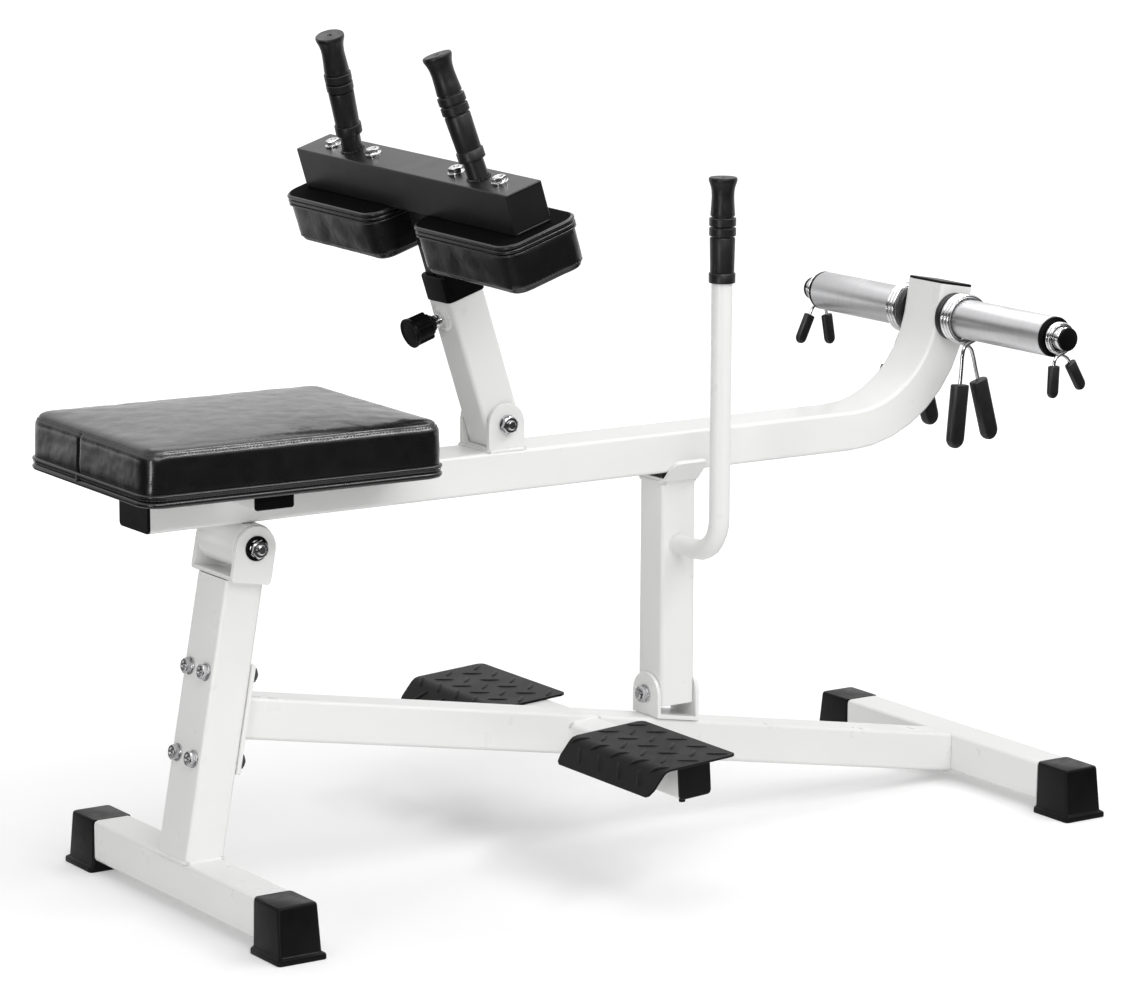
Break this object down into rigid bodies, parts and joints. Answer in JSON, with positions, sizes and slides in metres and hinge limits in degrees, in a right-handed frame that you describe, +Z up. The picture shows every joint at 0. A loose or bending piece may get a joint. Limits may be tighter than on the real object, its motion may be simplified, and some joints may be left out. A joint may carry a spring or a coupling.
{
  "type": "seated calf raise machine",
  "caption": "Plate-loaded seated calf raise machine with a pivoting lever arm, padded seat, adjustable thigh pads, tread footrests and a swing-out support post.",
  "frame": {"origin": "middle of the bounding box, on the floor", "axes": "+X from the seat end to the weight end, -Y towards the release handle, +Z up"},
  "size_m": [1.2886, 0.552, 0.9932],
  "materials": {
    "white_paint": "gloss",
    "black_paint": "satin",
    "tread_paint": "satin",
    "black_plastic": "satin",
    "black_rubber": "matte",
    "black_leather": "satin",
    "brushed_steel": "satin",
    "chrome": "polished"
  },
  "bodies": {
    "base": {"front_crossbar": "white_paint", "rear_crossbar": "white_paint", "foot_cap_front_near": "black_plastic", "foot_cap_front_far": "black_plastic", "foot_cap_rear_near": "black_plastic", "foot_cap_rear_far": "black_plastic", "front_post": "white_paint", "base_beam": "white_paint", "post_bolt_1": "chrome", "post_bolt_2": "chrome", "post_bolt_3": "chrome", "post_bolt_4": "chrome", "pivot_clevis": "white_paint", "pivot_bolt": "chrome", "footrest_tube_near": "white_paint", "footrest_tube_far": "white_paint", "footrest_cap_near": "black_plastic", "footrest_cap_far": "black_plastic", "footrest_near": "tread_paint", "footrest_far": "tread_paint", "support_clevis": "white_paint", "support_bolt": "chrome"},
    "lever": {"lever_arm": "white_paint", "pivot_barrel": "white_paint", "arm_front_plug": "black_plastic", "arm_top_plug": "black_plastic", "seat_crossmember": "white_paint", "crossmember_cap_near": "black_plastic", "crossmember_cap_far": "black_plastic", "seat": "black_leather", "thigh_clevis": "white_paint", "thigh_bolt": "chrome", "weight_bar": "chrome", "adapter_sleeve_near": "brushed_steel", "adapter_sleeve_far": "brushed_steel", "sleeve_washer_near": "black_rubber", "sleeve_washer_far": "black_rubber", "sleeve_bush_near": "black_plastic", "sleeve_bush_far": "black_plastic", "bar_plug_near": "black_plastic", "bar_plug_far": "black_plastic"},
    "support": {"support_post": "white_paint", "saddle": "white_paint", "saddle_pad": "black_rubber", "release_handle": "white_paint", "release_grip": "black_rubber"},
    "thigh": {"thigh_post": "white_paint", "thigh_collar": "black_plastic"},
    "slider": {"thigh_slider": "black_paint", "cross_beam": "black_paint", "handle_grip_near": "black_rubber", "handle_grip_far": "black_rubber", "thigh_pad_near": "black_leather", "thigh_pad_far": "black_leather"},
    "pin": {"pull_pin": "black_plastic"},
    "sleeve_clip_near_body": {"sleeve_clip_near": "chrome"},
    "sleeve_clip_far_body": {"sleeve_clip_far": "chrome"},
    "bar_clip_near_body": {"bar_clip_near": "chrome"},
    "bar_clip_far_body": {"bar_clip_far": "chrome"}
  },
  "joints": [
    {"name": "lever_pivot", "type": "hinge", "parent": "base", "child": "lever", "pos_m": [-0.45086, 0, 0.42699], "axis": [0, -1, 0], "range_deg": [0, 15]},
    {"name": "support_post_swing", "type": "hinge", "parent": "base", "child": "support", "pos_m": [0.15415, 0, 0.173], "axis": [1, 0, 0], "range_deg": [0, 20]},
    {"name": "thigh_tilt", "type": "hinge", "parent": "lever", "child": "thigh", "pos_m": [-0.10125, 0, 0.5358], "axis": [0, 1, 0], "range_deg": [0, 36]},
    {"name": "thigh_height", "type": "slide", "parent": "thigh", "child": "slider", "axis": [-0.309, 0, 0.9511], "range_m": [-0.05, 0.05]},
    {"name": "pull_pin", "type": "slide", "parent": "thigh", "child": "pin", "axis": [-0.9511, 0, -0.309], "range_m": [0, 0.009], "stiffness_N_per_m": 600, "springref_m": -0.002},
    {"name": "sleeve_clip_near", "type": "slide", "parent": "lever", "child": "sleeve_clip_near_body", "axis": [0, -1, 0], "range_m": [0, 0.16]},
    {"name": "bar_clip_near", "type": "slide", "parent": "lever", "child": "bar_clip_near_body", "axis": [0, -1, 0], "range_m": [0, 0.03]},
    {"name": "sleeve_clip_far", "type": "slide", "parent": "lever", "child": "sleeve_clip_far_body", "axis": [0, 1, 0], "range_m": [0, 0.16]},
    {"name": "bar_clip_far", "type": "slide", "parent": "lever", "child": "bar_clip_far_body", "axis": [0, 1, 0], "range_m": [0, 0.03]}
  ]
}
